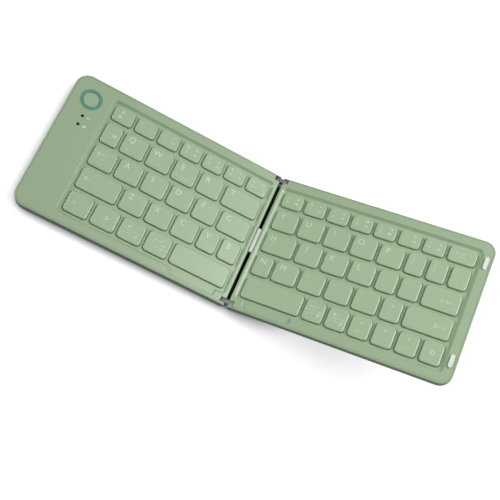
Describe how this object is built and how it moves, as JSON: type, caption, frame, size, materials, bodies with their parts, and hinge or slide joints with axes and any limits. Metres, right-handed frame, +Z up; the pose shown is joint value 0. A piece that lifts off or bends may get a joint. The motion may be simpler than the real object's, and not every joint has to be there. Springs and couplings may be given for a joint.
{
  "type": "folding keyboard",
  "caption": "Pocket keyboard whose two halves fold together on pin-and-link hinges; inset keys in a slim plastic case.",
  "frame": {"origin": "centre of the bounding box's bottom face, on the desk under the keyboard", "axes": "+X from the left half to the right half, +Y from the user's side to the rear, +Z up"},
  "size_m": [0.2884, 0.1, 0.07],
  "materials": {
    "case_plastic": "satin",
    "cover_plastic": "satin",
    "key_plastic": "satin",
    "button_plastic": "satin",
    "ring_teal": "gloss",
    "link_metal": "satin",
    "pin_steel": "satin",
    "sleeve_silver": "satin",
    "pad_rubber": "matte",
    "light_pipe": "gloss",
    "socket_steel": "satin",
    "screw_steel": "satin",
    "board_laminate": "satin",
    "dome_film": "matte",
    "battery_pouch": "satin"
  },
  "bodies": {
    "left_half": {"left_bottom_case": "case_plastic", "left_top_cover": "cover_plastic", "left_key_board": "board_laminate", "left_dome_sheet": "dome_film", "main_board": "board_laminate", "battery": "battery_pouch", "charging_socket": "socket_steel", "button_ring": "ring_teal", "status_lights": "light_pipe", "left_feet": "pad_rubber", "left_screws": "screw_steel"},
    "hinge_links": {"hinge_links": "link_metal", "hinge_pins": "pin_steel", "ribbon_sleeve": "sleeve_silver"},
    "right_half": {"right_bottom_case": "case_plastic", "right_top_cover": "cover_plastic", "right_key_board": "board_laminate", "right_dome_sheet": "dome_film", "right_feet": "pad_rubber", "rim_pads": "pad_rubber", "right_screws": "screw_steel"},
    "power_button": {"power_button": "button_plastic"},
    "key_q": {"key_q": "key_plastic"},
    "key_w": {"key_w": "key_plastic"},
    "key_e": {"key_e": "key_plastic"},
    "key_r": {"key_r": "key_plastic"},
    "key_t": {"key_t": "key_plastic"},
    "key_a": {"key_a": "key_plastic"},
    "key_s": {"key_s": "key_plastic"},
    "key_d": {"key_d": "key_plastic"},
    "key_f": {"key_f": "key_plastic"},
    "key_g": {"key_g": "key_plastic"},
    "key_z": {"key_z": "key_plastic"},
    "key_x": {"key_x": "key_plastic"},
    "key_c": {"key_c": "key_plastic"},
    "key_v": {"key_v": "key_plastic"},
    "key_b": {"key_b": "key_plastic"},
    "key_y": {"key_y": "key_plastic"},
    "key_u": {"key_u": "key_plastic"},
    "key_i": {"key_i": "key_plastic"},
    "key_o": {"key_o": "key_plastic"},
    "key_p": {"key_p": "key_plastic"},
    "key_h": {"key_h": "key_plastic"},
    "key_j": {"key_j": "key_plastic"},
    "key_k": {"key_k": "key_plastic"},
    "key_l": {"key_l": "key_plastic"},
    "key_n": {"key_n": "key_plastic"},
    "key_m": {"key_m": "key_plastic"},
    "left_space_key": {"left_space_key": "key_plastic"},
    "right_space_key": {"right_space_key": "key_plastic"},
    "left_shift_key": {"left_shift_key": "key_plastic"},
    "right_shift_key": {"right_shift_key": "key_plastic"},
    "return_key": {"return_key": "key_plastic"},
    "backspace_key": {"backspace_key": "key_plastic"},
    "left_number_keys": {"left_number_keys": "key_plastic"},
    "right_number_keys": {"right_number_keys": "key_plastic"},
    "left_modifier_keys": {"left_modifier_keys": "key_plastic"},
    "arrow_keys": {"arrow_keys": "key_plastic"},
    "right_symbol_keys": {"right_symbol_keys": "key_plastic"},
    "right_corner_keys": {"right_corner_keys": "key_plastic"}
  },
  "joints": [
    {"name": "fold_left", "type": "hinge", "parent": "left_half", "child": "hinge_links", "pos_m": [0.00255, 0, 0.006], "axis": [0, -1, 0], "range_deg": [-12.1, 77.9], "deforming": ["ribbon_sleeve"]},
    {"name": "fold_right", "type": "hinge", "parent": "hinge_links", "child": "right_half", "pos_m": [0.00901, 0, 0.00738], "axis": [0, -1, 0], "range_deg": [-12.1, 77.9], "deforming": ["ribbon_sleeve"]},
    {"name": "power_button_press", "type": "slide", "parent": "left_half", "child": "power_button", "axis": [0, 0, -1], "range_m": [0, 0.0005], "stiffness_N_per_m": 900},
    {"name": "key_q_press", "type": "slide", "parent": "left_half", "child": "key_q", "axis": [0, 0, -1], "range_m": [0, 0.0015], "stiffness_N_per_m": 320},
    {"name": "key_w_press", "type": "slide", "parent": "left_half", "child": "key_w", "axis": [0, 0, -1], "range_m": [0, 0.0015], "stiffness_N_per_m": 320},
    {"name": "key_e_press", "type": "slide", "parent": "left_half", "child": "key_e", "axis": [0, 0, -1], "range_m": [0, 0.0015], "stiffness_N_per_m": 320},
    {"name": "key_r_press", "type": "slide", "parent": "left_half", "child": "key_r", "axis": [0, 0, -1], "range_m": [0, 0.0015], "stiffness_N_per_m": 320},
    {"name": "key_t_press", "type": "slide", "parent": "left_half", "child": "key_t", "axis": [0, 0, -1], "range_m": [0, 0.0015], "stiffness_N_per_m": 320},
    {"name": "key_a_press", "type": "slide", "parent": "left_half", "child": "key_a", "axis": [0, 0, -1], "range_m": [0, 0.0015], "stiffness_N_per_m": 320},
    {"name": "key_s_press", "type": "slide", "parent": "left_half", "child": "key_s", "axis": [0, 0, -1], "range_m": [0, 0.0015], "stiffness_N_per_m": 320},
    {"name": "key_d_press", "type": "slide", "parent": "left_half", "child": "key_d", "axis": [0, 0, -1], "range_m": [0, 0.0015], "stiffness_N_per_m": 320},
    {"name": "key_f_press", "type": "slide", "parent": "left_half", "child": "key_f", "axis": [0, 0, -1], "range_m": [0, 0.0015], "stiffness_N_per_m": 320},
    {"name": "key_g_press", "type": "slide", "parent": "left_half", "child": "key_g", "axis": [0, 0, -1], "range_m": [0, 0.0015], "stiffness_N_per_m": 320},
    {"name": "key_z_press", "type": "slide", "parent": "left_half", "child": "key_z", "axis": [0, 0, -1], "range_m": [0, 0.0015], "stiffness_N_per_m": 320},
    {"name": "key_x_press", "type": "slide", "parent": "left_half", "child": "key_x", "axis": [0, 0, -1], "range_m": [0, 0.0015], "stiffness_N_per_m": 320},
    {"name": "key_c_press", "type": "slide", "parent": "left_half", "child": "key_c", "axis": [0, 0, -1], "range_m": [0, 0.0015], "stiffness_N_per_m": 320},
    {"name": "key_v_press", "type": "slide", "parent": "left_half", "child": "key_v", "axis": [0, 0, -1], "range_m": [0, 0.0015], "stiffness_N_per_m": 320},
    {"name": "key_b_press", "type": "slide", "parent": "left_half", "child": "key_b", "axis": [0, 0, -1], "range_m": [0, 0.0015], "stiffness_N_per_m": 320},
    {"name": "key_y_press", "type": "slide", "parent": "right_half", "child": "key_y", "axis": [0.4099, 0, -0.9121], "range_m": [0, 0.0015], "stiffness_N_per_m": 320},
    {"name": "key_u_press", "type": "slide", "parent": "right_half", "child": "key_u", "axis": [0.4099, 0, -0.9121], "range_m": [0, 0.0015], "stiffness_N_per_m": 320},
    {"name": "key_i_press", "type": "slide", "parent": "right_half", "child": "key_i", "axis": [0.4099, 0, -0.9121], "range_m": [0, 0.0015], "stiffness_N_per_m": 320},
    {"name": "key_o_press", "type": "slide", "parent": "right_half", "child": "key_o", "axis": [0.4099, 0, -0.9121], "range_m": [0, 0.0015], "stiffness_N_per_m": 320},
    {"name": "key_p_press", "type": "slide", "parent": "right_half", "child": "key_p", "axis": [0.4099, 0, -0.9121], "range_m": [0, 0.0015], "stiffness_N_per_m": 320},
    {"name": "key_h_press", "type": "slide", "parent": "right_half", "child": "key_h", "axis": [0.4099, 0, -0.9121], "range_m": [0, 0.0015], "stiffness_N_per_m": 320},
    {"name": "key_j_press", "type": "slide", "parent": "right_half", "child": "key_j", "axis": [0.4099, 0, -0.9121], "range_m": [0, 0.0015], "stiffness_N_per_m": 320},
    {"name": "key_k_press", "type": "slide", "parent": "right_half", "child": "key_k", "axis": [0.4099, 0, -0.9121], "range_m": [0, 0.0015], "stiffness_N_per_m": 320},
    {"name": "key_l_press", "type": "slide", "parent": "right_half", "child": "key_l", "axis": [0.4099, 0, -0.9121], "range_m": [0, 0.0015], "stiffness_N_per_m": 320},
    {"name": "key_n_press", "type": "slide", "parent": "right_half", "child": "key_n", "axis": [0.4099, 0, -0.9121], "range_m": [0, 0.0015], "stiffness_N_per_m": 320},
    {"name": "key_m_press", "type": "slide", "parent": "right_half", "child": "key_m", "axis": [0.4099, 0, -0.9121], "range_m": [0, 0.0015], "stiffness_N_per_m": 320},
    {"name": "left_space_key_press", "type": "slide", "parent": "left_half", "child": "left_space_key", "axis": [0, 0, -1], "range_m": [0, 0.0015], "stiffness_N_per_m": 320},
    {"name": "right_space_key_press", "type": "slide", "parent": "right_half", "child": "right_space_key", "axis": [0.4099, 0, -0.9121], "range_m": [0, 0.0015], "stiffness_N_per_m": 320},
    {"name": "left_shift_key_press", "type": "slide", "parent": "left_half", "child": "left_shift_key", "axis": [0, 0, -1], "range_m": [0, 0.0015], "stiffness_N_per_m": 320},
    {"name": "right_shift_key_press", "type": "slide", "parent": "right_half", "child": "right_shift_key", "axis": [0.4099, 0, -0.9121], "range_m": [0, 0.0015], "stiffness_N_per_m": 320},
    {"name": "return_key_press", "type": "slide", "parent": "right_half", "child": "return_key", "axis": [0.4099, 0, -0.9121], "range_m": [0, 0.0015], "stiffness_N_per_m": 320},
    {"name": "backspace_key_press", "type": "slide", "parent": "right_half", "child": "backspace_key", "axis": [0.4099, 0, -0.9121], "range_m": [0, 0.0015], "stiffness_N_per_m": 320},
    {"name": "left_number_keys_press", "type": "slide", "parent": "left_half", "child": "left_number_keys", "axis": [0, 0, -1], "range_m": [0, 0.0015], "stiffness_N_per_m": 320},
    {"name": "right_number_keys_press", "type": "slide", "parent": "right_half", "child": "right_number_keys", "axis": [0.4099, 0, -0.9121], "range_m": [0, 0.0015], "stiffness_N_per_m": 320},
    {"name": "left_modifier_keys_press", "type": "slide", "parent": "left_half", "child": "left_modifier_keys", "axis": [0, 0, -1], "range_m": [0, 0.0015], "stiffness_N_per_m": 320},
    {"name": "arrow_keys_press", "type": "slide", "parent": "right_half", "child": "arrow_keys", "axis": [0.4099, 0, -0.9121], "range_m": [0, 0.0015], "stiffness_N_per_m": 320},
    {"name": "right_symbol_keys_press", "type": "slide", "parent": "right_half", "child": "right_symbol_keys", "axis": [0.4099, 0, -0.9121], "range_m": [0, 0.0015], "stiffness_N_per_m": 320},
    {"name": "right_corner_keys_press", "type": "slide", "parent": "right_half", "child": "right_corner_keys", "axis": [0.4099, 0, -0.9121], "range_m": [0, 0.0015], "stiffness_N_per_m": 320}
  ]
}
